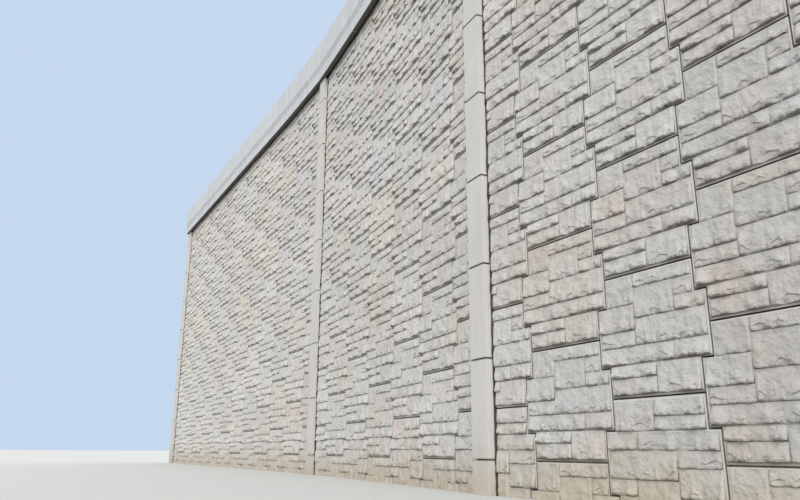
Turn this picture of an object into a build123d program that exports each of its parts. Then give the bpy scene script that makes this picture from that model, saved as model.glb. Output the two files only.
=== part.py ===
"""A retaining wall of interlocking precast concrete panels, with pilasters and a barrier coping.

The wall stands along X with its face to -Y. It is seen from the front, and it is described from right to
left: a straight bay, a kink at a pilaster, a gently curved bay, a smaller kink, and a long bay that runs out straight.
Z is up and z = 0 is the ground. The origin is under the pilaster at the kink, on the line of the panel faces.

The feature that takes the most skill is the interlock of the panels on this plan: each panel is a cross whose
arms reach into the necks of its neighbours, so the columns of panels step up and down by half a panel.
"""
from build123d import *
import os
from math import cos, radians, sin

# Plan: lengths in mm, and directions in degrees from the X axis
module = 1500.0             # pitch of the panel columns, and height of a panel with its joint
end_module = 1065.0         # from a pilaster's centre to the first line between two columns
short_bay = 5               # whole columns in each of the two bays at the right
long_bay = 11               # whole columns in the bay at the left
right_yaw = 2.3             # direction of the straight bay at the right
curve_yaw = -6.1            # direction of the wall just left of the kink
curve_turn = 4.9            # how far the wall turns back on the curve that starts there
curve_length = 14500.0      # length of wall on that curve
second_kink = 2.6           # how far it turns at the next pilaster

# Heights
first_joint = 500.0         # lowest joint between panels of the columns with whole-level joints
whole_courses = 7           # whole panels above that joint, with half a panel on top of them

# Panels
panel_depth = 180.0         # from the front face at the joints to the back
arm_reach = 75.0            # how far the arms and the necks depart from the column's module line
joint = 20.0                # open joint between the panel faces
lap_depth = 90.0            # depth of the strip on a panel's top edge that closes the joint behind
bearing = 0.3               # clearance where one piece is seated on another
glue = 0.8                  # from the panels' backs to the filter strips, where the wall is straight

# Pilasters
pilaster_width = 470.0
pilaster_stand = 135.0      # how far the pilaster stands in front of the panel faces
pilaster_arris = 15.0       # chamfer on the two front arrises
pilaster_web = 240.0        # width of the part between the panels
pilaster_clear = 12.0       # from the back of the pilaster's flange to the panel faces, where the wall is straight
pilaster_joint = 18.0       # open joint between two pilaster blocks

# Coping: heights are measured from the foot of its front lip, depths from the panel faces
lip_overlap = 40.0          # how far the lip hangs below the top of the panels
lip_stand = 230.0           # how far the lip stands in front of the panel faces
lip_thickness = 120.0
lip_height = 320.0
bevel_height = 150.0        # sloping band between the lip and the wall above it
bevel_out = 50.0            # how far that band leans out
coping_height = 1220.0
slot_rise = 100.0           # the drip slot behind the lip, above the seat on the panels
seat_clear = 20.0           # gap at the front and back of the panels inside the coping
back_leg = 120.0            # thickness of the leg behind the panels
back_drop = 100.0           # how far that leg reaches below the lip
crown_width = 250.0         # top of the barrier
crown_arris = 20.0
road_level = 390.0          # ledge at the back, where a road slab would start
toe_height = 75.0           # upright foot of the barrier on the road side
toe_slope = 180.0           # height and width of the lower slope above it
toe_run = 125.0
coping_unit = 6000.0        # length of a coping unit with its joint
coping_start = 650.0        # first coping joint, left of the kink
coping_joint = 15.0
coping_end = 20.0           # how far the coping runs past the end pilasters

# Filter strips that close the upright joints behind
strip_width = 450.0
strip_thickness = 3.0
strip_foot = 50.0
strip_head = 60.0           # how far the strips stop below the top of the panels

# Worked out from the values above
wall_top = first_joint + (whole_courses + 0.5) * module
lip_foot = wall_top - lip_overlap
quarter = module / 4
whole_columns = [int(count) for count in (short_bay, short_bay, long_bay)]
bay_lengths = [2 * end_module + n * module for n in whole_columns]
pilaster_stations = [-bay_lengths[0], 0.0, bay_lengths[1], bay_lengths[1] + bay_lengths[2]]

# Stations of the pilasters and of the lines between the columns, counted from the kink towards the left.
lines = []
for bay, count in enumerate(whole_columns):
    lines.append(pilaster_stations[bay])
    lines += [pilaster_stations[bay] + end_module + i * module for i in range(count + 1)]
lines.append(pilaster_stations[-1])
kink = lines.index(0.0)


def direction(i):
    """Direction of the chord from the line i to the next one on its left, in degrees from the X axis."""
    middle = (lines[i] + lines[i + 1]) / 2
    if middle < 0:
        return right_yaw
    yaw = curve_yaw + curve_turn * min(middle / curve_length, 1.0)
    return yaw + second_kink if middle > pilaster_stations[2] else yaw


def step(i):
    """Plan vector of that chord, from its left end to its right end."""
    length, yaw = lines[i + 1] - lines[i], radians(direction(i))
    return length * cos(yaw), length * sin(yaw)


# Plan positions of the lines. The wall is straight from each to the next.
corners = {kink: (0.0, 0.0)}
for i in range(kink, len(lines) - 1):
    corners[i + 1] = (corners[i][0] - step(i)[0], corners[i][1] - step(i)[1])
for i in range(kink - 1, -1, -1):
    corners[i] = (corners[i + 1][0] + step(i)[0], corners[i + 1][1] + step(i)[1])


def station(s):
    """Plan position of the wall's face line at the station s. Its ends run on straight."""
    i = max([k for k in range(len(lines) - 1) if lines[k] <= s], default=0)
    part = (s - lines[i]) / (lines[i + 1] - lines[i])
    return corners[i][0] - part * step(i)[0], corners[i][1] - part * step(i)[1]


def on_chord(i):
    """Location at the middle of the chord left of the line i, with its own X along the chord."""
    (xr, yr), (xl, yl) = corners[i], corners[i + 1]
    return Pos((xr + xl) / 2, (yr + yl) / 2, 0) * Rot(0, 0, direction(i))


def at_bend(i):
    """Location at the line i of the wall, where it halves the bend between the chords on both sides."""
    yaw = (direction(max(i - 1, 0)) + direction(min(i, len(lines) - 2))) / 2
    return Pos(*corners[i], 0) * Rot(0, 0, yaw)


def face(x0, x1, z0, z1):
    """Upright rectangle of a panel's outline, kept between the ground and the top of the wall."""
    z0, z1 = max(z0, 0.0), min(z1, wall_top)
    return Plane.XZ * Pos((x0 + x1) / 2, (z0 + z1) / 2) * Rectangle(x1 - x0, z1 - z0)


def panel(foot, left, right):
    """One panel whose lower joint is at the height foot, between the lines left and right.

    Each line is a pair: where the neck ends and where the arm ends. The cross is cut off by the ground or
    the coping, and a strip behind its top edge carries the next panel and closes the joint.
    """
    gap = joint / 2
    head = foot + module
    top = head - gap if head < wall_top else wall_top
    outline = face(left[0], right[0], foot + gap, top)
    if head - quarter - gap > 0 and foot + quarter + gap < wall_top:
        outline += face(left[1], right[1], foot + quarter + gap, head - quarter - gap)
    solid = extrude(outline, amount=-panel_depth)
    if head + gap < wall_top:
        lap = face(left[0], right[0], head - gap, head + gap - bearing)
        solid += Pos(0, panel_depth - lap_depth, 0) * extrude(lap, amount=-lap_depth)
    return solid


def column(lowest, left, right):
    """The panels of one column, from the ground to the coping, when its lowest joint is at the height lowest."""
    foot = lowest - module
    panels = []
    while foot + joint / 2 < wall_top - joint:
        if foot + module - joint / 2 > joint:
            panels.append(panel(foot, left, right))
        foot += module
    return panels


def strip():
    """Filter strip behind an upright joint."""
    height = wall_top - strip_head - strip_foot
    sheet = Box(strip_width, strip_thickness, height, align=(Align.CENTER, Align.MIN, Align.MIN))
    return Pos(0, panel_depth + glue, strip_foot) * sheet


def pilaster():
    """Blocks of one pilaster: a flange in front of the panels and a web between them."""
    flange_back = -pilaster_clear
    half = pilaster_width / 2
    flange = make_face(Polyline(
        (-half, flange_back), (-half, -pilaster_stand + pilaster_arris), (-half + pilaster_arris, -pilaster_stand),
        (half - pilaster_arris, -pilaster_stand), (half, -pilaster_stand + pilaster_arris), (half, flange_back),
        close=True))
    web_depth = panel_depth - flange_back
    web = Pos(0, (panel_depth + flange_back) / 2) * Rectangle(pilaster_web, web_depth)
    blocks = []
    foot, head = 0.0, first_joint
    while foot < lip_foot - pilaster_joint:
        head = min(head, lip_foot)
        tall = head - foot - bearing
        low = pilaster_joint - bearing if foot > 0 else 0.0
        blocks.append(Pos(0, 0, foot) * (extrude(web, amount=tall) + Pos(0, 0, low) * extrude(flange, amount=tall - low)))
        foot, head = head, head + module
    return blocks


def coping_profile():
    """Section of the coping on the panels: the front lip, the slot over the panels and the barrier."""
    front, inner = -lip_stand, -lip_stand + lip_thickness
    crown_front = front - bevel_out
    crown_back = crown_front + crown_width
    seat = lip_overlap + bearing
    slot_back = seat_clear
    leg_front = panel_depth + seat_clear
    leg_back = leg_front + back_leg
    toe = leg_back - back_leg - seat_clear
    points = [
        (front, 0), (front, lip_height), (crown_front, lip_height + bevel_height),
        (crown_front, coping_height - crown_arris), (crown_front + crown_arris, coping_height),
        (crown_back - crown_arris, coping_height), (crown_back, coping_height - crown_arris),
        (toe - toe_run, road_level + toe_height + toe_slope), (toe, road_level + toe_height), (toe, road_level),
        (leg_back, road_level), (leg_back, -back_drop), (leg_front, -back_drop), (leg_front, seat),
        (slot_back, seat), (slot_back, seat + slot_rise), (inner, seat + slot_rise), (inner, 0)]
    return make_face(Polyline(*points, close=True))


def coping(near, far):
    """One coping unit from the station near to the station far, mitred at each bend between them."""
    stops = [far] + [s for s in reversed(lines) if near < s < far] + [near]
    path = Polyline(*[(*station(s), lip_foot) for s in stops])
    start = Plane(origin=path @ 0, x_dir=(-(path % 0).Y, (path % 0).X, 0), z_dir=path % 0)
    return sweep(start * coping_profile(), path=path, transition=Transition.RIGHT)


os.makedirs("parts", exist_ok=True)


def save(name, solids):
    """Writes the solids of one named piece."""
    shape = solids[0] if len(solids) == 1 else Compound(children=solids)
    export_step(shape, f"parts/{name}.step")


# The kinds of column. Those beside a pilaster are narrower and end at a straight edge behind its flange. The
# panels of the columns with even numbers lie half a panel higher than those with odd ones.
neck, arm = module / 2 - arm_reach - joint / 2, module / 2 + arm_reach - joint / 2
middle = end_module / 2
end_neck, end_arm = middle - arm_reach - joint / 2, middle + arm_reach - joint / 2
edge = middle - pilaster_web / 2 - joint
shapes = {}
for odd, lowest in enumerate((first_joint + module / 2, first_joint)):
    shapes["column", odd] = column(lowest, (-neck, -arm), (neck, arm))
    shapes["end_column_right", odd] = column(lowest, (-end_neck, -end_arm), (edge, edge))
    shapes["end_column_left", odd] = column(lowest, (-edge, -edge), (end_neck, end_arm))

line = 0
for bay, count in enumerate(whole_columns):
    strips = []
    for i in range(count + 2):
        here = on_chord(line)
        kind = "end_column_right" if i == 0 else "end_column_left" if i > count else "column"
        name = f"column{i}" if kind == "column" else kind
        save(f"bay{bay + 1}_{name}", [here * solid for solid in shapes[kind, i % 2]])
        line += 1
        if i <= count:
            strips.append(at_bend(line) * strip())
    save(f"bay{bay + 1}_filter_strips", strips)

for number, s in enumerate(pilaster_stations):
    here = at_bend(lines.index(s))
    save(f"pilaster{number + 1}", [here * block for block in pilaster()])

# The coping runs unbroken over the pilasters, in units that don't keep to the bays.
past_end = pilaster_width / 2 + coping_end
first, last = pilaster_stations[0] - past_end, pilaster_stations[-1] + past_end
shortest = coping_unit / 4
lowest_unit = int((first + shortest - coping_start) // coping_unit) + 1
highest_unit = int((last - shortest - coping_start) // coping_unit)
ends = [first]
for unit in range(lowest_unit, highest_unit + 1):
    cut = coping_start + unit * coping_unit
    ends += [cut - coping_joint / 2, cut + coping_joint / 2]
ends.append(last)
for number, (near, far) in enumerate(zip(ends[::2], ends[1::2])):
    save(f"coping{number + 1}", [coping(near, far)])
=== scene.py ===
"""Split stone faces, tie lugs, finishes, light and camera for a wall of interlocking precast concrete panels.

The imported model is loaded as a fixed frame. Every new piece is laid out on the wall's plan, which is a
polygon through the lines between its columns. Lengths are in metres.
"""

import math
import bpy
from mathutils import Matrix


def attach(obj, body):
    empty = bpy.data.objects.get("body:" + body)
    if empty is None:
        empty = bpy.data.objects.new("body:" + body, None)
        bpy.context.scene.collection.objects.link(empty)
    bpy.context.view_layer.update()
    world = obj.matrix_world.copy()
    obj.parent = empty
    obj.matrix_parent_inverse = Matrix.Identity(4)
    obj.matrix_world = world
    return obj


bl_info = {
    "name": "Precast concrete wall",
    "version": (1, 0, 0),
    "blender": (4, 5, 0),
    "location": "3D View > Sidebar > Wall",
    "description": "Stone faces, tie lugs, finishes, light and camera for a wall of precast panels",
    "category": "Object",
}

from types import SimpleNamespace

import bpy
import numpy as np
from bpy.props import FloatProperty, FloatVectorProperty, PointerProperty
from mathutils import Matrix, Vector

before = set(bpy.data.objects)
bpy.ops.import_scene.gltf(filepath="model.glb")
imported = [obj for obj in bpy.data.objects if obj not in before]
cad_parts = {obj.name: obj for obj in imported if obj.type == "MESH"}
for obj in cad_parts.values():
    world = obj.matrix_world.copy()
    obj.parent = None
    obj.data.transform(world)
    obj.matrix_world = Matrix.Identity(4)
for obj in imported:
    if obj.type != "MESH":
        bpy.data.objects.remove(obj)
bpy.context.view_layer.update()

# The plan, as in the solids, with its turns in degrees
MODULE = 1.5
END_MODULE = 1.065
COLUMNS_IN_BAY = (5, 5, 11)
RIGHT_YAW = 2.3
CURVE_YAW = -6.1
CURVE_TURN = 4.9
CURVE_LENGTH = 14.5
SECOND_KINK = 2.6

# The panels, as in the solids. A column's lowest panel has one of two foot levels and is cut at the ground
WALL_TOP = 11.75
JOINT = 0.020
PANEL_DEPTH = 0.180
WHOLE_FOOT = -1.0
HALF_FOOT = -0.25

# An end column: the middle line of its cut panels and the side of the pilaster's flange, both measured from
# the middle of its chord, and the free strip between the flange and the stones
END_SHIFT = 0.2175
FLANGE_SIDE = 0.2975
FLANGE_GAP = 0.024

# The middle of the lowest joint between a pilaster's blocks
PILASTER_JOINT = 0.509

# A split face: the rounded shoulder over its lip, the drop of a chip's ledge, how far the face under a ledge
# is set back and the rise that sets it back in full, the spacing of the small chips, the length of the slow
# waves, and the least depth of a face and height of a lip
SHOULDER = 0.020
LEDGE_DROP = 0.013
CHIP_STEP = 0.018
CHIP_FULL_RISE = 0.034
CHIP_SPACING = 0.105
SLOW_WAVE = 0.13
THINNEST = 0.004

# The grid of a stone: its first rows keep their place, the rows above are so many pitches high, and the
# points are shifted by a share of the spacing. What a cut leaves narrower than the least width is left out,
# a narrow strip stands out less, and a cut end is a little ragged. Edges over the sharp angle, in degrees,
# aren't smoothed
FIXED_ROWS = 5
ROW_STRETCH = 1.4
JITTER = 0.22
LEAST_WIDTH = 0.03
NARROW = 0.12
NARROW_RELIEF = 0.5
RAGGED_CUT = 0.010
SHARP_ANGLE = 22

# Painted light and shade: brightness of the columns by their number from the right, joined by straight
# lines, darker at the right end and lighter in the far bays; the share of the painted shade on the stones'
# edges in each bay; and how far the crumbled zone reaches over a lip
PAINTED_COLUMN_LIGHT = ((0, 5, 6, 7, 13, 26), (0.80, 0.945, 0.985, 1.06, 1.09, 1.13))
EDGE_SHADE_IN_BAY = (1.0, 0.20, 0.10)
CRUMBLE_LENGTH = 0.045

# Tints of the concrete, of the painted shade on the stones' edges, in the crumbled pits and in the pocks, and
# of the zinc's bloom
PINK_TAN = (1.0, 0.905, 0.845)
EDGE_SHADE = (0.22, 0.20, 0.175)
PIT_SHADE = (0.20, 0.185, 0.16)
POCK_SHADE = (0.20, 0.19, 0.17)
ZINC_BLOOM = (0.55, 0.56, 0.56)

# The tie lugs: places on a panel, room kept at the ground and at the coping, and the two leaves of a lug
LUG_SPOTS = (-0.375, 0.375)
LUG_LEVELS = (0.375, 1.125)
LUG_ROOM = 0.15
LUG_LEAVES = ((-0.0085, -0.0045), (0.0045, 0.0085))
LUG_ROOT = -0.004
LUG_CORNER_CUT = 0.013
LUG_HOLE = 0.009
LUG_HOLE_INSET = 0.026

# The black strips beside the pilasters, which stand in for the shade in the gaps there (painted shade):
# half width, bulge, distance from the flange, seat behind the panels' faces, and the corners and levels
# of their mesh
SHADE_STRIP_WIDTH = 0.017
SHADE_STRIP_DEPTH = 0.044
SHADE_STRIP_OFFSET = 0.011
SHADE_STRIP_SEAT = 0.003
SHADE_STRIP_CORNERS = 7
SHADE_STRIP_LEVELS = 120

# The stage: the floor's half side, and for each lamp the way to its light, its apparent width in degrees and
# its colour
FLOOR_HALF = 400.0
LAMPS = {"key": ((1.10, -1.0, 0.42), 95.0, (1.0, 0.99, 0.97)),
         "back": ((-0.35, 1.0, 0.9), 130.0, (1.0, 1.0, 1.0))}
SKY_COLOUR = (0.97, 0.985, 1.0)
CAMERA_PLACE = Vector((9.4929, -6.3036, 0.632))
CAMERA_HEADING = Vector((-0.89237, 0.45130, 0.0))
CAMERA_PITCH = math.radians(15.583)
CAMERA_ROLL = math.radians(-0.308)
CAMERA_LENS = 32.378


def mould(letter, left, right, low, high, depths, lip, *chips):
    """One stone of the panels' mould. Its edges are measured from the panel's middle line and its lower
    joint, the depths at the lip are those of the left end, the middle and the right end, and the lip's
    height is measured from the lower edge. A chip over the lip is (place, half width, rise)."""
    return SimpleNamespace(seed=ord(letter), left=left, right=right, low=low, high=high,
                           depths=depths, lip=lip, chips=chips)


STONES = (
    mould("a", -0.645, -0.210, 1.120, 1.475, (0.034, 0.024, 0.020), 0.012, (-0.32, 0.07, 0.022)),
    mould("b", -0.200, 0.645, 1.318, 1.475, (0.032, 0.048, 0.026), 0.011,
          (-0.12, 0.07, 0.044), (0.14, 0.06, 0.040)),
    mould("c", -0.219, 0.375, 0.940, 1.310, (0.030, 0.036, 0.024), 0.012, (0.12, 0.11, 0.046)),
    mould("d", 0.385, 0.645, 1.118, 1.310, (0.030, 0.028, 0.022), 0.012, (0.47, 0.09, 0.048)),
    mould("e", 0.385, 0.790, 0.940, 1.110, (0.048, 0.052, 0.048), 0.015),
    mould("f", -0.790, -0.229, 0.799, 1.112, (0.044, 0.024, 0.042), 0.013, (-0.48, 0.10, 0.026)),
    mould("g", -0.790, -0.225, 0.610, 0.791, (0.040, 0.028, 0.022), 0.015, (-0.69, 0.10, 0.052)),
    mould("h", -0.217, 0.790, 0.610, 0.932, (0.036, 0.028, 0.024), 0.012,
          (-0.15, 0.07, 0.078), (0.20, 0.08, 0.050), (0.45, 0.08, 0.034)),
    mould("i", -0.790, 0.322, 0.404, 0.602, (0.052, 0.028, 0.030), 0.012,
          (-0.17, 0.07, 0.034), (0.07, 0.14, 0.062)),
    mould("j", 0.330, 0.790, 0.404, 0.602, (0.052, 0.048, 0.052), 0.014, (0.65, 0.06, 0.024)),
    mould("k", -0.645, 0.046, 0.233, 0.385, (0.054, 0.054, 0.044), 0.017, (-0.35, 0.07, 0.026)),
    mould("l", -0.645, 0.046, 0.036, 0.225, (0.046, 0.036, 0.046), 0.010,
          (-0.58, 0.06, 0.050), (-0.20, 0.07, 0.028)),
    mould("m", 0.054, 0.645, 0.036, 0.385, (0.042, 0.035, 0.048), 0.010,
          (0.29, 0.13, 0.070), (0.54, 0.07, 0.030)),
)


# Settings

def metres(name, description, default):
    """A setting in metres."""
    return FloatProperty(name=name, description=description, default=default, unit="LENGTH")


def plain_number(name, description, default):
    """A setting that is a plain number."""
    return FloatProperty(name=name, description=description, default=default)


def tint(name, description, *default):
    """A setting that is a colour."""
    return FloatVectorProperty(name=name, description=description, default=default, subtype="COLOR")


class WallStoneSettings(bpy.types.PropertyGroup):
    """Sizes of the split stone faces and of the tie lugs behind the panels."""
    near_pitch: metres("Near grid", "Spacing of the stones' grid in the right bay", 0.031)
    middle_pitch: metres("Middle grid", "Spacing of the stones' grid in the middle bay", 0.038)
    far_pitch: metres("Far grid", "Spacing of the stones' grid in the left bay", 0.057)
    top_depth: metres("Upper edge", "How far a stone's upper edge stands out", 0.009)
    foot_depth: metres("Lower edge", "How far a stone's lower edge stands out under its lip", 0.005)
    hollow: plain_number("Hollows", "Bend of the shell-shaped hollows, per metre", 0.85)
    swell: metres("Swell", "Height of the slow swell of a split face", 0.0055)
    lug_reach: metres("Lug reach", "How far a tie lug stands out behind its panel", 0.062)
    lug_width: metres("Lug width", "Width of a tie lug's leaves", 0.050)


class WallFinishSettings(bpy.types.PropertyGroup):
    """Colours of the finishes."""
    stone_colour: tint("Stone face", "Split concrete face", 0.64, 0.628, 0.605)
    panel_colour: tint("Panel", "Smooth concrete of the panels' margins, edges and backs", 0.64, 0.628, 0.605)
    pilaster_colour: tint("Pilaster", "Smooth concrete of the pilasters", 0.66, 0.645, 0.618)
    coping_colour: tint("Coping", "Smooth concrete of the coping and barrier", 0.66, 0.68, 0.70)
    stain_colour: tint("Foot stain", "Tan stain on the lowest half metre", 0.50, 0.43, 0.32)
    # Painted shade on the margins under the stones and beside the flanges, and the dark seam on the panels'
    # backs
    margin_shade_and_seam_colour: tint("Margin dirt", "Dirt on the margins under the stones", 0.125, 0.107, 0.080)
    # Painted shade in the joints, on the stones' undersides and under the coping, and the dust on the felt
    grime_and_shade_colour: tint("Grime", "Grime in the joints and under the coping", 0.078, 0.067, 0.053)
    felt_colour: tint("Filter felt", "Black needle felt behind the upright joints", 0.012, 0.012, 0.013)
    zinc_colour: tint("Zinc", "Hot-dip coat of the tie lugs", 0.42, 0.43, 0.44)


class WallStageSettings(bpy.types.PropertyGroup):
    """Floor, backdrop and lamps."""
    floor_colour: tint("Floor", "Plain floor", 0.60, 0.60, 0.585)
    floor_bounce: tint("Floor bounce", "Colour of the light from the floor on the wall", 0.21, 0.21, 0.20)
    backdrop_colour: tint("Backdrop", "Plain background", 0.56, 0.69, 0.86)
    sky_strength: plain_number("Sky", "Strength of the even light from all round", 0.55)
    key_strength: plain_number("Key lamp", "Strength of the wide lamp in front of the wall", 4.0)
    back_strength: plain_number("Back lamp", "Strength of the wide lamp behind the wall", 1.5)


# Plan

def plan_lines():
    """Distances along the wall of all lines between columns: each pilaster, then its bay's module lines."""
    lines, start = [], -(2 * END_MODULE + COLUMNS_IN_BAY[0] * MODULE)
    for count in COLUMNS_IN_BAY:
        lines.append(start)
        lines += [start + END_MODULE + i * MODULE for i in range(count + 1)]
        start += 2 * END_MODULE + count * MODULE
    lines.append(start)
    return lines


LINES = plan_lines()
KINK = min(range(len(LINES)), key=lambda i: abs(LINES[i]))
SECOND = 2 * END_MODULE + COLUMNS_IN_BAY[1] * MODULE


def chord_yaw(i):
    """Turn in degrees of the chord from line i to the next line on its left: straight at the right, then a
    turn that fades along the curve, then a second kink."""
    middle = (LINES[i] + LINES[i + 1]) / 2
    if middle < 0:
        return RIGHT_YAW
    yaw = CURVE_YAW + CURVE_TURN * min(middle / CURVE_LENGTH, 1.0)
    return yaw + SECOND_KINK if middle > SECOND else yaw


def plan_corners():
    """Corners of the plan at the lines, added up chord by chord from the kink to both sides."""
    yaws = np.radians([chord_yaw(i) for i in range(len(LINES) - 1)])
    steps = np.diff(LINES)[:, None] * np.column_stack([np.cos(yaws), np.sin(yaws)])
    along = np.vstack([np.zeros(2), np.cumsum(steps, axis=0)])
    return along[KINK] - along


CORNERS = plan_corners()
PILASTERS = [sum(count + 2 for count in COLUMNS_IN_BAY[:n]) for n in range(len(COLUMNS_IN_BAY) + 1)]


def place_on_chord(i, points):
    """Points (across, out of the face, up) of the chord from line i to i + 1, turned and moved to their
    place."""
    yaw = math.radians(chord_yaw(i))
    middle = (CORNERS[i] + CORNERS[i + 1]) / 2
    across, back, up = points[..., 0], points[..., 1], points[..., 2]
    x = middle[0] + across * math.cos(yaw) - back * math.sin(yaw)
    y = middle[1] + across * math.sin(yaw) + back * math.cos(yaw)
    return np.stack([x, y, up], axis=-1)


def columns():
    """All columns of panels from the right, each with its node's name, its chord, bay and kind, whether its
    lowest panel has the deeper foot level (whole) or the other, and the height of each panel's foot."""
    found = []
    for bay, count in enumerate(COLUMNS_IN_BAY):
        kinds = ["end_column_right"] + ["column%d" % (k + 1) for k in range(count)] + ["end_column_left"]
        for k, kind in enumerate(kinds):
            whole = kind.startswith("column") and k % 2 == 1
            feet = np.arange(WHOLE_FOOT if whole else HALF_FOOT, WALL_TOP - 0.1, MODULE)
            name = "bay%d_%s" % (bay + 1, kind)
            found.append(SimpleNamespace(name=name, chord=len(found), bay=bay, kind=kind,
                                         whole=whole, feet=feet))
    return found


# Shapes

def smooth(t):
    """A soft step: 3 t squared minus 2 t cubed, held between 0 and 1."""
    t = np.clip(t, 0, 1)
    return t * t * (3 - 2 * t)


def wander(x, seed, wavelength):
    """A soft random line between -1 and 1: random values a wavelength apart, joined by soft steps."""
    count, start = 64, 31.3
    values = np.random.default_rng(seed).uniform(-1, 1, count)
    t = x / wavelength + start
    low = np.floor(t).astype(int)
    before, after = values[low % count], values[(low + 1) % count]
    return before + (after - before) * smooth(t - low)


def lip_line(stone, u):
    """Height of a stone's lip over its lower edge along u: the stone's own height in slow waves, plus small
    nicks. It is held between a few millimetres and a share of the stone's height."""
    nicks = 0.0095 * wander(u, stone.seed + 50, 0.034)
    line = stone.lip * (1 + 0.7 * wander(u, stone.seed, SLOW_WAVE)) + nicks
    return np.clip(line, THINNEST, 0.42 * (stone.high - stone.low))


def chip_line(stone, u):
    """The chips over a stone's lip along u: how high their ledges lie over the lip, and how far the face
    under a ledge is set back. The mould's own chips are wide, and small random ones follow the whole edge. A
    chip is a lopsided peak with sides between straight and soft, and its line is ragged."""
    rng = np.random.default_rng(3000 + stone.seed)
    count = max(2, int((stone.right - stone.left) / CHIP_SPACING))
    places = np.linspace(stone.left, stone.right, count + 2)[1:-1] + rng.uniform(-0.035, 0.035, count)
    small = np.column_stack([places, rng.uniform(0.028, 0.062, count), rng.uniform(0.0, 0.026, count)])
    chips = np.vstack([small] + ([np.array(stone.chips)] if stone.chips else []))
    peak = rng.uniform(0.25, 0.7, len(chips)) * rng.choice((-1, 1), len(chips))
    across = (u[..., None] - chips[:, 0]) / (1.15 * chips[:, 1])
    slope = np.clip(np.minimum((across + 1) / (1 + peak), (1 - across) / (1 - peak)), 0, 1)
    rise = np.max(chips[:, 2] * (0.45 * slope + 0.55 * smooth(slope)), axis=-1)
    rise = np.maximum(rise + 0.010 * wander(u, stone.seed + 70, 0.030) * smooth(rise / 0.012), 0)
    return SHOULDER + LEDGE_DROP + rise, CHIP_STEP * smooth(rise / CHIP_FULL_RISE)


def lip_depth(stone, u):
    """How far a stone's lip stands out along u: its three depths joined by straight lines, in slow waves,
    plus short ones of one height."""
    out = np.interp(u, (stone.left, (stone.left + stone.right) / 2, stone.right), stone.depths)
    short = 0.009 * wander(u, stone.seed + 91, 0.036)
    return 0.88 * out * (1 + 0.66 * wander(u, stone.seed + 90, SLOW_WAVE)) + short


def hollow_depth(stone, u, v, bend):
    """Depth of the shell-shaped hollows at (u, v): the lowest of many shallow, tilted bowls, each the bend
    times the squared distance from its middle, with the height counted more. It is held within 6 mm in and
    10 mm out."""
    rng = np.random.default_rng(1000 + stone.seed)
    count = max(8, int(60 * (stone.right - stone.left) * (stone.high - stone.low)))
    middle_u = rng.uniform(stone.left, stone.right, count)
    middle_v = rng.uniform(stone.low, stone.high, count)
    tilt_u, tilt_v = rng.normal(0, 0.035, count), rng.normal(0, 0.035, count)
    base = rng.uniform(-0.002, 0.002, count)
    du, dv = u[..., None] - middle_u, v[..., None] - middle_v
    bowls = base + tilt_u * du + tilt_v * dv + bend * (du * du + 1.6 * dv * dv)
    return np.clip(np.min(bowls, axis=-1), -0.006, 0.010)


def split_face(stone, u, v, settings):
    """Depth of a stone's split face at (u, v). From its upper edge the face leans out to the lip, and under
    the lip it falls back to the lower edge. Hollows, a slow swell, a rounded shoulder over the lip and
    rounded sides are added, and chips are set back under their ledges."""
    lip = stone.low + lip_line(stone, u)
    ledge, step = chip_line(stone, u)
    lean = np.clip((stone.high - v) / (stone.high - lip), 0, 1)
    face = settings.top_depth + (lip_depth(stone, u) - settings.top_depth) * lean
    face = face * (1 - 0.30 * np.clip((lip + SHOULDER - v) / SHOULDER, 0, 1) ** 1.5)
    rising = wander(u + 0.7 * v, stone.seed + 7, 0.23)
    swell = settings.swell * rising * wander(v - 0.4 * u, stone.seed + 8, 0.17)
    face = face + hollow_depth(stone, u, v, settings.hollow) + swell
    scoop = np.clip((v - lip) / ledge, 0, 1)
    face = face - step * smooth((lip + ledge - v) / LEDGE_DROP) * (0.45 + 0.55 * scoop)
    under = np.clip((v - stone.low) / np.maximum(lip - stone.low, 1e-4), 0, 1)
    face = np.where(v < lip, settings.foot_depth + (face - settings.foot_depth) * under ** 0.8, face)
    side = np.minimum(u - stone.left, stone.right - u)
    rim = (0.38 + 0.62 * smooth(side / 0.024)) * (0.72 + 0.28 * smooth((stone.high - v) / 0.016))
    return np.maximum(face * rim, THINNEST)


def rows_between(low, high, count):
    """Rows spaced evenly from low to high: an array with one row for each step."""
    return low + (high - low) * np.linspace(0, 1, count + 1)[:, None]


def closed_skin(grid):
    """A grid of points closed behind: its rim is carried back into the panel, round one flat face. The
    result is the points, the quads and the ring of the flat face."""
    rows, count = grid.shape[:2]
    index = np.arange(rows * count).reshape(rows, count)
    quads = np.stack([index[:-1, :-1], index[:-1, 1:], index[1:, 1:], index[1:, :-1]], axis=-1).reshape(-1, 4)
    rim = np.concatenate([index[0], index[1:, -1], index[-1, -2::-1], index[-2:0:-1, 0]])
    points = grid.reshape(-1, 3)
    back = points[rim]
    back[:, 1] = 0.002
    ring = np.arange(len(points), len(points) + len(rim))
    sides = np.stack([rim, ring, np.roll(ring, -1), np.roll(rim, -1)], axis=-1)
    return np.vstack([points, back]), np.vstack([quads, sides]), ring[::-1]


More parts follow.
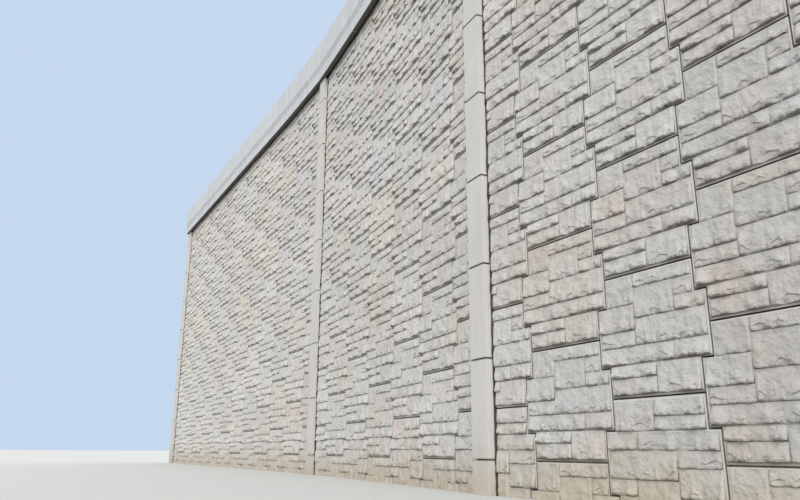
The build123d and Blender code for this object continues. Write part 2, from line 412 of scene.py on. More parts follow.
def stone_mesh(stone, pitch, cut, turned, settings):
    """One stone's closed skin within a cut (left, right, low, high), or None where too little is left of it.
    Its rows are the lower edge, the lip, the shoulder, the foot and the top of the chips' ledge, and even
    rows above. A stone that has lost its lower edge has even rows only. The result is the points (across,
    back, up), the quads, the back's ring and each point's painted shade and crumble."""
    left, right, low, high = stone.left, stone.right, stone.low, stone.high
    if turned:
        left, right, low, high = -right, -left, MODULE - high, MODULE - low
    cut_left, cut_right = max(cut[0], left), min(cut[1], right)
    cut_low, cut_high = max(cut[2], low), min(cut[3], high)
    width = cut_right - cut_left
    if min(width, cut_high - cut_low) < LEAST_WIDTH:
        return None
    steps = max(2, round(width / pitch))
    rng = np.random.default_rng(2000 + stone.seed)
    line = np.linspace(cut_left, cut_right, steps + 1)
    line[1:-1] += rng.uniform(-JITTER, JITTER, steps - 1) * width / steps

    def home(u, v):
        # A turned panel has the same stones in turned places, each still leaning out at its lower edge
        return (-u, v - low + (MODULE - high)) if turned else (u, v)

    home_line = home(line, line)[0]
    lip = low + lip_line(stone, home_line)
    has_foot = cut_low <= low + 1e-6
    if has_foot:
        ledge = np.minimum(lip + chip_line(stone, home_line)[0], cut_high - LEAST_WIDTH)
        upper = max(2, round((cut_high - ledge.mean()) / (ROW_STRETCH * pitch)))
        v = np.vstack([np.full_like(line, cut_low), lip, lip + SHOULDER, ledge - LEDGE_DROP,
                       rows_between(ledge, cut_high, upper)])
    else:
        upper = max(2, round((cut_high - cut_low) / (ROW_STRETCH * pitch)))
        v = rows_between(np.full_like(line, cut_low), cut_high, upper)
    u = np.broadcast_to(line, v.shape).copy()
    jitter = rng.uniform(-JITTER, JITTER, v.shape)
    inner = slice(FIXED_ROWS if has_foot else 1, len(v) - 1)
    v[inner, 1:-1] += jitter[inner, 1:-1] * (v[-1, 1:-1] - v[-2, 1:-1])
    u[inner, 1:-1] += rng.uniform(-0.2, 0.2, u[inner, 1:-1].shape) * pitch
    if cut[0] > left:
        u[:, 0] += rng.uniform(0, RAGGED_CUT, len(v))
    if cut[1] < right:
        u[:, -1] -= rng.uniform(0, RAGGED_CUT, len(v))
    depth = split_face(stone, *home(u, v), settings)
    if width < min(NARROW, right - left - 0.001):
        depth = depth * NARROW_RELIEF

    # Painted shade: darkest at the lower edge and the lip, some at the upper edge and the sides, full at the
    # skirt's foot behind the stone
    painted_shade, crumble = np.zeros(v.shape), np.zeros(v.shape)
    if has_foot:
        painted_shade[0], painted_shade[1] = 1.0, 0.6
        crumble = np.exp(-np.maximum(v - lip, 0) / CRUMBLE_LENGTH)
    painted_shade[-1] = np.maximum(painted_shade[-1], 0.35)
    painted_shade[:, [0, -1]] = np.maximum(painted_shade[:, [0, -1]], 0.10)
    points, quads, ring = closed_skin(np.stack([u, -depth, v], axis=-1))
    values = np.stack([np.append(painted_shade, np.ones(len(ring))), np.append(crumble, np.zeros(len(ring)))], axis=-1)
    return points, quads, ring, values


class Joined:
    """Points, quads and larger polygons of many parts under one count of the points."""

    def __init__(self):
        self.points, self.quads, self.polygons, self.total = [], [], [], 0

    def add(self, points, quads, polygons=()):
        """Adds one part."""
        self.points.append(points)
        self.quads.append(quads + self.total)
        self.polygons += [polygon + self.total for polygon in polygons]
        self.total += len(points)

    def arrays(self):
        """All points, all quads and the list of polygons."""
        return np.vstack(self.points), np.vstack(self.quads), self.polygons

    def piece(self, name):
        """All parts as one object of that name."""
        return fill_mesh(name, *self.arrays())


def panel_mesh(pitch, cut, shift, turned, settings):
    """All stones of one panel within a cut, shifted to the left: points, quads, back rings, each point's
    painted shade and crumble, and the number of its stone."""
    joined, values, owners = Joined(), [], []
    for number, stone in enumerate(STONES):
        made = stone_mesh(stone, pitch, cut, turned, settings)
        if made is None:
            continue
        points, quads, ring, stone_values = made
        joined.add(points - [shift, 0, 0], quads, [ring])
        values.append(stone_values)
        owners.append(np.full(len(points), number))
    return joined.arrays() + (np.vstack(values), np.concatenate(owners))


def panel_sort(column, foot):
    """Which sort of panel stands at a foot: one cut at the ground, one cut at the coping or a full one."""
    if foot < 0:
        return "lowest_whole" if column.whole else "lowest_half"
    return "top_half" if foot + MODULE > WALL_TOP + 0.1 else "full"


def mould_mesh(bay, kind, sort, settings):
    """The stones of one sort of panel in a bay and a kind of column. In an end column they are cut beside the
    pilaster's flange."""
    pitch = (settings.near_pitch, settings.middle_pitch, settings.far_pitch)[bay]
    left, right, shift = -1.0, 1.0, 0.0
    if kind == "end_column_left":
        left, shift = END_SHIFT - FLANGE_SIDE + FLANGE_GAP, END_SHIFT
    elif kind == "end_column_right":
        right, shift = FLANGE_SIDE - FLANGE_GAP - END_SHIFT, -END_SHIFT
    low = {"lowest_whole": -WHOLE_FOOT + 0.001, "lowest_half": -HALF_FOOT + 0.001}.get(sort, 0.0)
    high = MODULE / 2 - JOINT / 2 if sort == "top_half" else MODULE
    made = panel_mesh(pitch, (left, right, low, high), shift, sort == "lowest_half", settings)
    # Less painted shade on the stones' edges in the far bays
    painted_shade = made[3][:, 0]
    painted_shade *= EDGE_SHADE_IN_BAY[bay]
    return made


def lug_mesh(settings):
    """Two flat leaves, one over the other. A leaf is a ring of six outer points, a rectangle with its far
    corners cut, round a ring of six hole points, carried through the leaf's thickness."""
    half, reach = settings.lug_width / 2, settings.lug_reach
    shoulder, nose = reach - LUG_CORNER_CUT, half - LUG_CORNER_CUT
    outer = np.array([(half, LUG_ROOT), (half, shoulder), (nose, reach), (-nose, reach),
                      (-half, shoulder), (-half, LUG_ROOT)])
    turn = np.radians([-45, 15, 65, 115, 165, 225])
    inner = np.column_stack([LUG_HOLE * np.cos(turn), reach - LUG_HOLE_INSET + LUG_HOLE * np.sin(turn)])
    lug = Joined()
    i = np.arange(6)
    j = (i + 1) % 6
    for low, high in LUG_LEAVES:
        points = [np.column_stack([ring, np.full(6, z)])
                  for ring, z in ((outer, high), (inner, high), (outer, low), (inner, low))]
        quads = [np.column_stack([a + i, a + j, b + j, b + i])
                 for a, b in ((0, 6), (18, 12), (12, 0), (6, 18))]
        lug.add(np.vstack(points), np.vstack(quads))
    return lug.arrays()[:2]


def shade_strip_mesh(side):
    """A bulging strip of painted shade: a deep half oval as its profile, carried up the corner in waves that
    swell and sink a little. side is -1 at the left of a column and 1 at its right."""
    levels = np.linspace(0.01, WALL_TOP, SHADE_STRIP_LEVELS)
    turn = np.radians(np.linspace(0, 180, SHADE_STRIP_CORNERS))
    swell = 1 + 0.25 * wander(levels, 77, 0.11) + 0.15 * wander(levels, 78, 0.04)
    across = side * (FLANGE_SIDE - SHADE_STRIP_OFFSET) + SHADE_STRIP_WIDTH * np.cos(turn)
    out = SHADE_STRIP_SEAT - (SHADE_STRIP_DEPTH * np.sin(turn)) * swell[:, None]
    points = [np.broadcast_to(across, out.shape), out, np.broadcast_to(levels[:, None], out.shape)]
    index = np.arange(out.size).reshape(out.shape)
    ahead = np.roll(index, -1, axis=1)
    quads = np.stack([index[:-1], ahead[:-1], ahead[1:], index[1:]], axis=-1).reshape(-1, 4)
    return np.stack(points, axis=-1).reshape(-1, 3), quads[:, ::-1], [index[0], index[-1][::-1]]


def fill_mesh(name, points, quads, polygons=()):
    """A new object from points, an array of quads and a list of polygons with more corners."""
    mesh = bpy.data.meshes.new(name)
    lengths = np.array([4] * len(quads) + [len(p) for p in polygons], dtype=np.int32)
    corners = np.concatenate([quads.ravel()] + [np.asarray(p) for p in polygons]).astype(np.int32)
    mesh.vertices.add(len(points))
    mesh.loops.add(len(corners))
    mesh.polygons.add(len(lengths))
    mesh.vertices.foreach_set("co", np.ascontiguousarray(points, dtype=np.float32).ravel())
    mesh.loops.foreach_set("vertex_index", corners)
    mesh.polygons.foreach_set("loop_start", np.concatenate([[0], np.cumsum(lengths)[:-1]]).astype(np.int32))
    mesh.update(calc_edges=True)
    mesh.validate()
    obj = bpy.data.objects.new(name, mesh)
    bpy.context.scene.collection.objects.link(obj)
    return obj


# Finishes

class Finish:
    """A node material. Most of its methods add nodes and return their output."""

    def __init__(self, name, roughness=0.9):
        self.material = bpy.data.materials.new(name)
        self.material.use_nodes = True
        self.tree = self.material.node_tree
        self.shader = self.tree.nodes["Principled BSDF"]
        self.shader.inputs["Roughness"].default_value = roughness
        self.place = self.tree.nodes.new("ShaderNodeTexCoord").outputs["Object"]

    def put(self, socket, value):
        """Links an output to the socket, or sets the socket to a number or colour."""
        if isinstance(value, bpy.types.NodeSocket):
            self.tree.links.new(value, socket)
        elif hasattr(value, "__len__"):
            socket.default_value = tuple(value) + (1.0,) * (len(socket.default_value) - len(value))
        else:
            socket.default_value = value

    def outputs(self, kind, inputs, **choices):
        """The outputs of a new node with these choices and inputs."""
        node = self.tree.nodes.new("ShaderNode" + kind)
        for name, choice in choices.items():
            setattr(node, name, choice)
        for socket, value in inputs.items():
            self.put(node.inputs[socket], value)
        return node.outputs

    def noise(self, scale, detail=3.0, roughness=0.55, stretch=None, distortion=0.0):
        """Soft noise of that many waves a metre, from 0 to 1."""
        place = self.stretched(stretch) if stretch else self.place
        inputs = {"Vector": place, "Scale": scale, "Detail": detail, "Roughness": roughness}
        return self.outputs("TexNoise", {**inputs, "Distortion": distortion})["Fac"]

    def cells(self, scale):
        """Distance to the nearest of scattered points."""
        return self.outputs("TexVoronoi", {"Vector": self.place, "Scale": scale})["Distance"]

    def stretched(self, factors):
        """Object coordinates stretched along each axis."""
        return self.outputs("Mapping", {"Vector": self.place, "Scale": factors})["Vector"]

    def along(self, axis):
        """Position along an axis in metres: Z is the height over the ground."""
        return self.outputs("SeparateXYZ", {"Vector": self.place})[axis]

    def facing(self, axis):
        """How squarely the surface faces along an axis, from -1 to 1."""
        normal = self.outputs("NewGeometry", {})["Normal"]
        return self.outputs("SeparateXYZ", {"Vector": normal})[axis]

    def attribute(self, name, colour=False):
        """A value or colour stored on the piece's points."""
        return self.outputs("Attribute", {}, attribute_name=name)["Color" if colour else "Fac"]

    def spread(self, value, low, high, to_low=0.0, to_high=1.0):
        """A value's range from low to high, carried to another range and held there."""
        inputs = {"Value": value, "From Min": low, "From Max": high, "To Min": to_low, "To Max": to_high}
        return self.outputs("MapRange", inputs)["Result"]

    def maths(self, operation, a, b=0.0):
        """One sum, product or other operation on two values."""
        return self.outputs("Math", {0: a, 1: b}, operation=operation)["Value"]

    def times(self, a, b):
        """Product of two values."""
        return self.maths("MULTIPLY", a, b)

    def larger(self, a, b):
        """The larger of two values."""
        return self.maths("MAXIMUM", a, b)

    def apart(self, a, b=0.0):
        """How far two values lie apart."""
        return self.maths("ABSOLUTE", self.maths("SUBTRACT", a, b))

    def over_joint(self, foot):
        """Height over the nearest level below that lies a whole number of modules from the foot."""
        return self.maths("FLOORED_MODULO", self.maths("SUBTRACT", self.along("Z"), foot), MODULE)

    def blend(self, amount, a, b, mode="MIX"):
        """Colour a blended with colour b by an amount."""
        inputs = {"Factor": amount, "A": a, "B": b}
        return self.outputs("Mix", inputs, data_type="RGBA", blend_type=mode)["Result"]

    def bump(self, height, distance, strength=1.0, under=None):
        """Fine relief from a height, on top of another bump."""
        inputs = {"Strength": strength, "Distance": distance, "Height": height}
        if under is not None:
            inputs["Normal"] = under
        return self.outputs("Bump", inputs)["Normal"]

    def finish(self, colour, normal=None, roughness=None):
        """Joins colour, relief and roughness to the shader and returns the material."""
        for name, value in (("Base Color", colour), ("Normal", normal), ("Roughness", roughness)):
            if value is not None:
                self.put(self.shader.inputs[name], value)
        return self.material


def darker(colour, factor):
    """The same colour at another brightness."""
    return tuple(channel * factor for channel in colour)


def foot_stain(look, colour, stain):
    """Tan splash stain that fades out over the lowest half metre, with a ragged upper edge."""
    ragged = look.spread(look.noise(2.2, 4.0, 0.6), 0.3, 0.7, -0.22, 0.22)
    amount = look.spread(look.maths("ADD", look.along("Z"), ragged), 0.05, 0.75, 0.72, 0.0)
    return look.blend(amount, colour, stain)


def stone_finish(colours):
    """Split concrete: warm pale grey with a tint for each panel and stone that also carries the columns'
    painted light and shade, pinkish patches, mottling, grain, painted shade on the edges, painted shade in
    the crumbled pits over the lips and painted shade on the undersides."""
    look = Finish("split_face_concrete", 0.92)
    base = colours.stone_colour
    # The stones' tint carries the columns' painted light and shade as well as each panel's and stone's own
    # tone
    colour = look.blend(1.0, base, look.attribute("stone_tint_and_light", True), "MULTIPLY")
    blotch = look.spread(look.noise(1.3, 4.0, 0.6), 0.32, 0.68, 0.0, 0.12)
    colour = look.blend(blotch, colour, darker(base, 0.72))
    pink = look.spread(look.noise(0.75, 4.0, 0.6), 0.50, 0.68, 0.0, 0.85)
    colour = look.blend(pink, colour, PINK_TAN, "MULTIPLY")
    mottle = look.spread(look.noise(13.0, 5.0, 0.66), 0.3, 0.7, 0.24, 0.0)
    colour = look.blend(mottle, colour, darker(base, 0.55))
    grain = look.spread(look.noise(85.0, 2.0, 0.6), 0.35, 0.7, 0.14, 0.0)
    colour = look.blend(grain, colour, darker(base, 0.45))
    # Painted shade on the stones' edges, in patches
    patchy = look.spread(look.noise(4.0, 3.0), 0.35, 0.65, 0.10, 0.40)
    colour = look.blend(look.times(look.attribute("painted_shade"), patchy), colour, EDGE_SHADE)
    colour = foot_stain(look, colour, colours.stain_colour)
    crumbs = look.noise(19.0, 4.0, 0.68, (0.75, 0.75, 1.35))
    patchy = look.spread(look.noise(2.6, 2.0), 0.38, 0.56, 0.35, 1.0)
    loose = look.times(look.attribute("crumble"), patchy)
    # Painted shade: dark specks in the crumbled zone over the lips stand in for the shade in its pits
    pits = look.times(loose, look.spread(crumbs, 0.40, 0.52, 0.90, 0.0))
    colour = look.blend(pits, colour, PIT_SHADE)
    # Painted shade: faces turned downwards are darkened
    under = look.spread(look.facing("Z"), -0.8, -0.3, 0.12, 0.0)
    colour = look.blend(under, colour, colours.grime_and_shade_colour)
    normal = look.bump(look.noise(7.5, 2.0, 0.5), 0.045)
    normal = look.bump(look.noise(16.0, 4.0, 0.6), 0.013, 1.0, normal)
    normal = look.bump(look.noise(42.0, 3.0, 0.65), 0.008, 1.0, normal)
    normal = look.bump(look.times(loose, crumbs), 0.055, 1.0, normal)
    return look.finish(colour, normal)


def margin_shade_and_seam(look, foot):
    """Amount of painted shade and seam on the panels' flat margins: two bands of painted shade, under the
    lowest stones and under the arms' stones, that fade in and out along the wall, and painted shade on the
    strips beside the pilasters' flanges. On the back it is a thin dark seam over each panel."""
    up = look.over_joint(foot)
    low = look.times(look.spread(up, 0.0, 0.040, 0.7, 1.0), look.spread(up, 0.038, 0.042, 1.0, 0.0))
    arm = look.times(look.spread(up, 0.380, 0.388), look.spread(up, 0.402, 0.408, 1.0, 0.0))
    patchy = look.spread(look.noise(1.2, 2.0), 0.35, 0.65, 0.55, 0.95)
    bands = look.times(look.larger(low, arm), patchy)
    # Painted shade on the margins beside the pilasters' flanges
    beside = 10.0
    for i in PILASTERS:
        beside = look.maths("MINIMUM", beside, look.apart(look.along("X"), CORNERS[i][0]))
    flange = look.spread(beside, 0.262, 0.274, 0.85, 0.0)
    front = look.spread(look.facing("Y"), -0.7, -0.5, 1.0, 0.0)
    seam = look.spread(look.apart(up, JOINT / 2), 0.002, 0.006, 0.9, 0.0)
    seam = look.times(seam, look.spread(look.facing("Y"), 0.5, 0.7))
    return look.larger(look.times(look.larger(bands, flange), front), seam)


def joint_shade_and_seam(look, colour, colours, foot):
    """Painted shade on the panels' edges in the joints and on their margins, with the dark seam on the backs,
    less of both in the far bays.
    """
    # Painted shade on the panels' edges that face sideways, up or down in the joints
    upright = look.spread(look.apart(look.facing("X")), 0.5, 0.6, 0.0, 0.55)
    level = look.spread(look.apart(look.facing("Z")), 0.5, 0.6, 0.0, 0.85)
    near = look.spread(look.along("X"), -3.0, 0.0, 0.55, 1.0)
    colour = look.blend(look.times(look.larger(upright, level), near), colour, colours.grime_and_shade_colour)
    return look.blend(look.times(margin_shade_and_seam(look, foot), near), colour, colours.margin_shade_and_seam_colour)


def arris_shade_and_seam(look, colour, colours, shadow, foot):
    """Painted shade on the arrises and on the faces that turn up or down in the joints between a pilaster's
    blocks, and grime in and around these joints. Little of what lies around the joints is left in the far
    bays. foot is half a module under a joint."""
    # Painted shade on the arrises
    slant = look.apart(look.times(look.facing("X"), look.facing("Y")))
    colour = look.blend(look.spread(slant, 0.30, 0.45, 0.0, 0.45), colour, shadow)
    # Painted shade on the faces that turn up or down in the joints
    level = look.spread(look.apart(look.facing("Z")), 0.5, 0.6, 0.0, 0.9)
    colour = look.blend(level, colour, colours.grime_and_shade_colour)
    from_joint = look.apart(look.over_joint(foot), MODULE / 2)
    near = look.spread(look.along("X"), -3.0, -0.5, 0.15, 1.0)
    seam = look.times(look.spread(from_joint, 0.009, 0.030, 0.60, 0.0), near)
    return look.blend(seam, colour, colours.grime_and_shade_colour)


def smooth_concrete(name, base, colours, grime_and_shade, pock_depth, streaks, cloudy=0.16, stained=True, foot=0.0):
    """Smooth cast concrete: a slight upright streak, cloudy tint, small pocks with painted shade in them and
    a fine skin. Its painted shade lies in the joints and on the margins of panels, on the arrises and in the
    joints of pilasters, or under the coping's soffit; dark seams lie on the panels' backs and around the
    pilasters' joints."""
    look = Finish(name, 0.82)
    cloud = look.spread(look.noise(1.7, 5.0, 0.6), 0.3, 0.7, cloudy, 0.0)
    colour = look.blend(cloud, base, darker(base, 0.62))
    streak = look.spread(look.noise(7.0, 3.0, 0.55, (1.0, 1.0, 0.06)), 0.3, 0.7, streaks, 0.0)
    colour = look.blend(streak, colour, darker(base, 0.55))
    pale = look.spread(look.noise(24.0, 4.0, 0.65), 0.5, 0.8, 0.0, 0.22)
    colour = look.blend(pale, colour, tuple(min(1.0, channel * 1.12) for channel in base))
    full = look.spread(look.noise(9.0, 2.0), 0.52, 0.6, 1.0, 0.0)
    pocks = look.maths("ADD", look.spread(look.cells(26.0), 0.05, 0.12), full)
    pocks = look.maths("MINIMUM", pocks, 1.0)
    # Painted shade in the small pocks
    colour = look.blend(look.spread(pocks, 0, 1, 0.45, 0.0), colour, POCK_SHADE)
    if stained:
        colour = foot_stain(look, colour, colours.stain_colour)
    if grime_and_shade == "joints":
        colour = joint_shade_and_seam(look, colour, colours, foot)
    elif grime_and_shade == "arrises":
        colour = arris_shade_and_seam(look, colour, colours, darker(base, 0.55), foot)
    elif grime_and_shade == "soffit":
        # Painted shade: faces turned downwards, such as the coping's soffit, are darkened
        under = look.spread(look.facing("Z"), -0.8, -0.6, 0.93, 0.0)
        colour = look.blend(under, colour, colours.grime_and_shade_colour)
    normal = look.bump(pocks, pock_depth)
    normal = look.bump(look.noise(45.0, 4.0, 0.6), 0.0012, 0.8, normal)
    return look.finish(colour, normal, look.spread(look.noise(30.0, 3.0), 0.3, 0.7, 0.74, 0.9))


def felt_finish(colours):
    """Needle felt: near black with paler fibres, patches of dust and a fuzzy surface. It also dresses the
    black strips of painted shade beside the pilasters.
    """
    look = Finish("felt_and_shade_strip", 1.0)
    fibres = look.spread(look.noise(260.0, 4.0, 0.7, distortion=1.5), 0.45, 0.75, 0.0, 0.6)
    colour = look.blend(fibres, colours.felt_colour, darker(colours.felt_colour, 3.0))
    dust = look.spread(look.noise(5.0, 3.0), 0.35, 0.65, 0.25, 0.85)
    colour = look.blend(dust, colour, colours.grime_and_shade_colour)
    return look.finish(colour, look.bump(look.noise(320.0, 3.0, 0.7), 0.001))


def zinc_finish(colours):
    """Hot-dip zinc: dull grey with a faint spangle, pale bloom and soft gloss."""
    look = Finish("hot_dip_zinc", 0.5)
    look.shader.inputs["Metallic"].default_value = 1.0
    base = colours.zinc_colour
    spangle = look.spread(look.cells(140.0), 0.0, 0.7)
    colour = look.blend(look.spread(spangle, 0, 1, 0.0, 0.45), base, darker(base, 0.7))
    bloom = look.spread(look.noise(12.0, 3.0), 0.5, 0.7, 0.0, 0.3)
    colour = look.blend(bloom, colour, ZINC_BLOOM)
    return look.finish(colour, look.bump(spangle, 0.0003), look.spread(spangle, 0, 1, 0.42, 0.6))


def dress(names, material):
    """Gives the CAD nodes with these names their finish."""
    for name in names:
        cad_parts[name].data.materials.clear()
        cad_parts[name].data.materials.append(material)


def nodes_like(part):
    """The names of the CAD nodes that hold this word."""
    return [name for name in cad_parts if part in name]


def panel_tint(rng):
    """A colour factor for each stone of a panel: the panel's own brightness and warmth plus a little of the
    stone's own. About one panel in ten is a little tan."""
    tone = 1 + rng.normal(0, 0.030) + rng.normal(0, 0.020, len(STONES))
    warm = rng.normal(0, 0.012) + rng.normal(0, 0.005, len(STONES))
    if rng.random() < 0.10:
        warm = warm + rng.uniform(0.012, 0.035)
        tone = tone - 0.02
    pink = rng.normal(0, 0.006) + rng.normal(0, 0.003, len(STONES))
    return np.column_stack([tone * (1 + warm), tone * (1 + 0.1 * warm - pink), tone * (1 - 1.25 * warm)])


# Stage

def seen_directly(tree):
    """1 for what the camera sees, also by gloss or through glass, and 0 for what only lights the scene."""
    path = tree.nodes.new("ShaderNodeLightPath")
    direct = path.outputs["Is Camera Ray"]
    for ray in ("Is Glossy Ray", "Is Transmission Ray"):
        either = tree.nodes.new("ShaderNodeMath")
        either.operation = "MAXIMUM"
        tree.links.new(direct, either.inputs[0])
        tree.links.new(path.outputs[ray], either.inputs[1])
        direct = either.outputs["Value"]
    return direct


def make_floor(settings):
    """A plain floor, which throws its own colour of light on the wall."""
    half = FLOOR_HALF
    corners = np.array([(-half, -half, 0), (half, -half, 0), (half, half, 0), (-half, half, 0)], dtype=float)
    floor = fill_mesh("floor", corners, np.array([[0, 1, 2, 3]]))
    look = Finish("floor_plain", 0.95)
    grain = look.spread(look.noise(0.8, 4.0), 0.3, 0.7, 0.0, 0.05)
    seen = look.blend(grain, settings.floor_colour, darker(settings.floor_colour, 0.9))
    colour = look.blend(seen_directly(look.tree), settings.floor_bounce, seen)
    floor.data.materials.append(look.finish(colour))


def make_world(scene, settings):
    """An even sky that lights the wall, and a plain backdrop for the camera."""
    world = bpy.data.worlds.new("studio")
    scene.world = world
    world.use_nodes = True
    tree = world.node_tree
    tree.nodes.clear()
    output = tree.nodes.new("ShaderNodeOutputWorld")
    mix = tree.nodes.new("ShaderNodeMixShader")
    tree.links.new(seen_directly(tree), mix.inputs[0])
    layers = ((SKY_COLOUR, settings.sky_strength), (tuple(settings.backdrop_colour), 1.0))
    for place, (colour, strength) in enumerate(layers, 1):
        light = tree.nodes.new("ShaderNodeBackground")
        light.inputs["Color"].default_value = colour + (1.0,)
        light.inputs["Strength"].default_value = strength
        tree.links.new(light.outputs[0], mix.inputs[place])
    tree.links.new(mix.outputs[0], output.inputs["Surface"])


def make_lamps(scene, settings):
    """Two wide lamps, in front of the wall and behind it."""
    strengths = {"key": settings.key_strength, "back": settings.back_strength}
    for name, (source, width, colour) in LAMPS.items():
        data = bpy.data.lights.new(name + "_lamp", "SUN")
        data.energy = strengths[name]
        data.angle = math.radians(width)
        data.color = colour
        lamp = bpy.data.objects.new(name + "_lamp", data)
        scene.collection.objects.link(lamp)
        lamp.rotation_mode = "QUATERNION"
        lamp.rotation_quaternion = Vector(source).to_track_quat("Z", "Y")


def make_camera(scene):
    """The camera, from its place, heading, pitch and roll."""
    side = CAMERA_HEADING.cross(Vector((0, 0, 1))).normalized()
    ahead = CAMERA_HEADING.normalized() * math.cos(CAMERA_PITCH) + Vector((0, 0, math.sin(CAMERA_PITCH)))
    top = side.cross(ahead)
    right = side * math.cos(CAMERA_ROLL) - top * math.sin(CAMERA_ROLL)
    up = side * math.sin(CAMERA_ROLL) + top * math.cos(CAMERA_ROLL)
    data = bpy.data.cameras.new("camera")
    data.sensor_fit = "HORIZONTAL"
    data.sensor_width = 36.0
    data.lens = CAMERA_LENS
    data.clip_start = 0.1
    data.clip_end = 1500.0
    camera = bpy.data.objects.new("camera", data)
    scene.collection.objects.link(camera)
    camera.matrix_world = Matrix((right, up, -ahead)).transposed().to_4x4()
    camera.location = CAMERA_PLACE
    scene.camera = camera


# Operators

class WALL_OT_panel_finish(bpy.types.Operator):
    """Dress the cross-shaped panels' margins, edges and backs"""
    bl_idname = "wall.panel_finish"
    bl_label = "Panel finish"

    def execute(self, context):
        colours = context.scene.wall_finish
        for whole, name, foot in ((True, "whole", WHOLE_FOOT), (False, "half", HALF_FOOT)):
            material = smooth_concrete("panel_concrete_" + name, colours.panel_colour, colours, "joints",
                                       pock_depth=0.0012, streaks=0.05, foot=foot)
            dress([column.name for column in columns() if column.whole == whole], material)
        return {"FINISHED"}


class WALL_OT_stone_faces(bpy.types.Operator):
    """Make the split stone face of every panel, one piece for each column of panels"""
    bl_idname = "wall.stone_faces"
    bl_label = "Stone faces"

    def execute(self, context):
        material = stone_finish(context.scene.wall_finish)
        moulds = {}
        for number, column in enumerate(columns()):
            rng = np.random.default_rng(4000 + number)
            # Painted light and shade: the column's brightness, darker at the right end and lighter in the far
            # bays, goes into its stones' tint
            brightness = np.interp(number, *PAINTED_COLUMN_LIGHT)
            kind = column.kind if column.kind.startswith("end") else "column"
            joined, values, tints_and_light = Joined(), [], []
            for foot in column.feet:
                key = (column.bay, kind, panel_sort(column, foot))
                if key not in moulds:
                    moulds[key] = mould_mesh(*key, context.scene.wall_stones)
                points, quads, rings, panel_values, owners = moulds[key]
                joined.add(place_on_chord(column.chord, points + [0, 0, foot]), quads, rings)
                values.append(panel_values)
                tints_and_light.append(brightness * panel_tint(rng)[owners])
            piece = joined.piece(column.name + "_stones")
            self.colour_points(piece.data, np.vstack(tints_and_light), np.vstack(values))
            piece.data.shade_smooth()
            piece.data.set_sharp_from_angle(angle=math.radians(SHARP_ANGLE))
            piece.data.materials.append(material)
            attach(piece, "root")
        return {"FINISHED"}

    @staticmethod
    def colour_points(mesh, tints_and_light, values):
        """Stores each point's tint with the column's painted light and shade, its painted shade and its
        crumble for the finish.
        """
        colour = np.ones((len(mesh.vertices), 4), dtype=np.float32)
        colour[:, :3] = tints_and_light
        mesh.attributes.new("stone_tint_and_light", "FLOAT_COLOR", "POINT").data.foreach_set("color", colour.ravel())
        for name, column in zip(("painted_shade", "crumble"), values.T):
            numbers = np.ascontiguousarray(column, dtype=np.float32)
            mesh.attributes.new(name, "FLOAT", "POINT").data.foreach_set("value", numbers)


class WALL_OT_tie_lugs(bpy.types.Operator):
    """Make the zinc-coated lugs cast into the panels' backs, one joined piece for each bay"""
    bl_idname = "wall.tie_lugs"
    bl_label = "Tie lugs"

    def execute(self, context):
        material = zinc_finish(context.scene.wall_finish)
        lug_points, lug_quads = lug_mesh(context.scene.wall_stones)
        for bay in range(len(COLUMNS_IN_BAY)):
            joined = Joined()
            for column in [column for column in columns() if column.bay == bay]:
                spots = (0.0,) if column.kind.startswith("end") else LUG_SPOTS
                levels = [foot + level for foot in column.feet for level in LUG_LEVELS]
                for z in [level for level in levels if LUG_ROOM <= level <= WALL_TOP - LUG_ROOM]:
                    for spot in spots:
                        placed = place_on_chord(column.chord, lug_points + [spot, PANEL_DEPTH, z])
                        joined.add(placed, lug_quads)
            piece = joined.piece("bay%d_tie_lugs" % (bay + 1))
            piece.data.materials.append(material)
            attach(piece, "root")
        return {"FINISHED"}


class WALL_OT_pilasters(bpy.types.Operator):
    """Dress the smooth pilasters"""
    bl_idname = "wall.pilasters"
    bl_label = "Pilasters"

    def execute(self, context):
        colours = context.scene.wall_finish
        material = smooth_concrete("pilaster_concrete", colours.pilaster_colour, colours, "arrises",
                                   pock_depth=0.0015, streaks=0.14, cloudy=0.24,
                                   foot=PILASTER_JOINT - MODULE / 2)
        dress(nodes_like("pilaster"), material)
        return {"FINISHED"}


class WALL_OT_coping(bpy.types.Operator):
    """Dress the coping and barrier"""
    bl_idname = "wall.coping"
    bl_label = "Coping"

    def execute(self, context):
        colours = context.scene.wall_finish
        material = smooth_concrete("coping_concrete", colours.coping_colour, colours, "soffit",
                                   pock_depth=0.001, streaks=0.34, cloudy=0.26, stained=False)
        dress(nodes_like("coping"), material)
        return {"FINISHED"}


class WALL_OT_filter_strips(bpy.types.Operator):
    """Dress the black felt strips behind the upright joints"""
    bl_idname = "wall.filter_strips"
    bl_label = "Filter strips"

    def execute(self, context):
        dress(nodes_like("filter_strips"), felt_finish(context.scene.wall_finish))
        return {"FINISHED"}


class WALL_OT_shade_strips(bpy.types.Operator):
    """Make the black strips of painted shade in the corners beside the pilasters, one joined piece for each
    bay
    """
    bl_idname = "wall.joint_fillers"
    bl_label = "Joint fillers"

    def execute(self, context):
        # Painted shade: black strips stand in for the shade in the gaps beside the pilasters' flanges
        material = felt_finish(context.scene.wall_finish)
        for bay in range(len(COLUMNS_IN_BAY)):
            joined = Joined()
            ends = [column for column in columns() if column.bay == bay and column.kind.startswith("end")]
            for column in ends:
                points, quads, caps = shade_strip_mesh(-1 if column.kind == "end_column_left" else 1)
                joined.add(place_on_chord(column.chord, points), quads, caps)
            piece = joined.piece("bay%d_joint_fillers" % (bay + 1))
            piece.data.materials.append(material)
            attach(piece, "root")
        return {"FINISHED"}


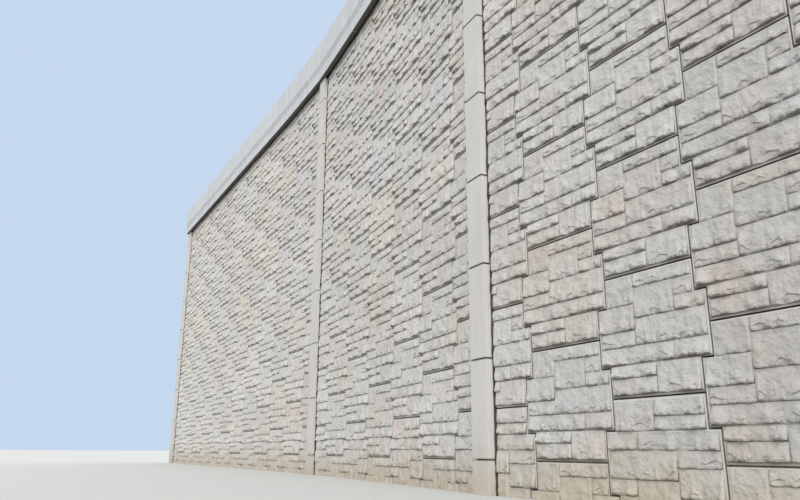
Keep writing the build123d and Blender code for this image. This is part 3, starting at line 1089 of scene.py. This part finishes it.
class WALL_OT_stage(bpy.types.Operator):
    """Set up the floor, the light and the camera"""
    bl_idname = "wall.stage"
    bl_label = "Stage"

    def execute(self, context):
        scene = context.scene
        make_floor(scene.wall_stage)
        make_world(scene, scene.wall_stage)
        make_lamps(scene, scene.wall_stage)
        make_camera(scene)
        scene.view_settings.view_transform = "Standard"
        return {"FINISHED"}


class WALL_PT_panel(bpy.types.Panel):
    """Lists the wall's operators and settings in the sidebar"""
    bl_idname = "WALL_PT_panel"
    bl_label = "Precast wall"
    bl_space_type = "VIEW_3D"
    bl_region_type = "UI"
    bl_category = "Wall"

    def draw(self, context):
        for operator in OPERATORS:
            self.layout.operator(operator.bl_idname)
        for group in (context.scene.wall_stones, context.scene.wall_finish, context.scene.wall_stage):
            box = self.layout.box()
            for name in group.__annotations__:
                box.prop(group, name)


OPERATORS = (WALL_OT_panel_finish, WALL_OT_stone_faces, WALL_OT_tie_lugs, WALL_OT_pilasters, WALL_OT_coping,
             WALL_OT_filter_strips, WALL_OT_shade_strips, WALL_OT_stage)
GROUPS = (WallStoneSettings, WallFinishSettings, WallStageSettings)


def register():
    """Registers the settings, the operators and the panel."""
    for group in GROUPS + OPERATORS + (WALL_PT_panel,):
        bpy.utils.register_class(group)
    bpy.types.Scene.wall_stones = PointerProperty(type=WallStoneSettings)
    bpy.types.Scene.wall_finish = PointerProperty(type=WallFinishSettings)
    bpy.types.Scene.wall_stage = PointerProperty(type=WallStageSettings)


def unregister():
    """Takes away what register adds."""
    del bpy.types.Scene.wall_stones, bpy.types.Scene.wall_finish, bpy.types.Scene.wall_stage
    for group in reversed(GROUPS + OPERATORS + (WALL_PT_panel,)):
        bpy.utils.unregister_class(group)


def main():
    """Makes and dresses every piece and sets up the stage."""
    register()
    for operator in (bpy.ops.wall.panel_finish, bpy.ops.wall.stone_faces, bpy.ops.wall.tie_lugs,
                     bpy.ops.wall.pilasters, bpy.ops.wall.coping, bpy.ops.wall.filter_strips,
                     bpy.ops.wall.joint_fillers, bpy.ops.wall.stage):
        operator()


if __name__ == "__main__":
    main()
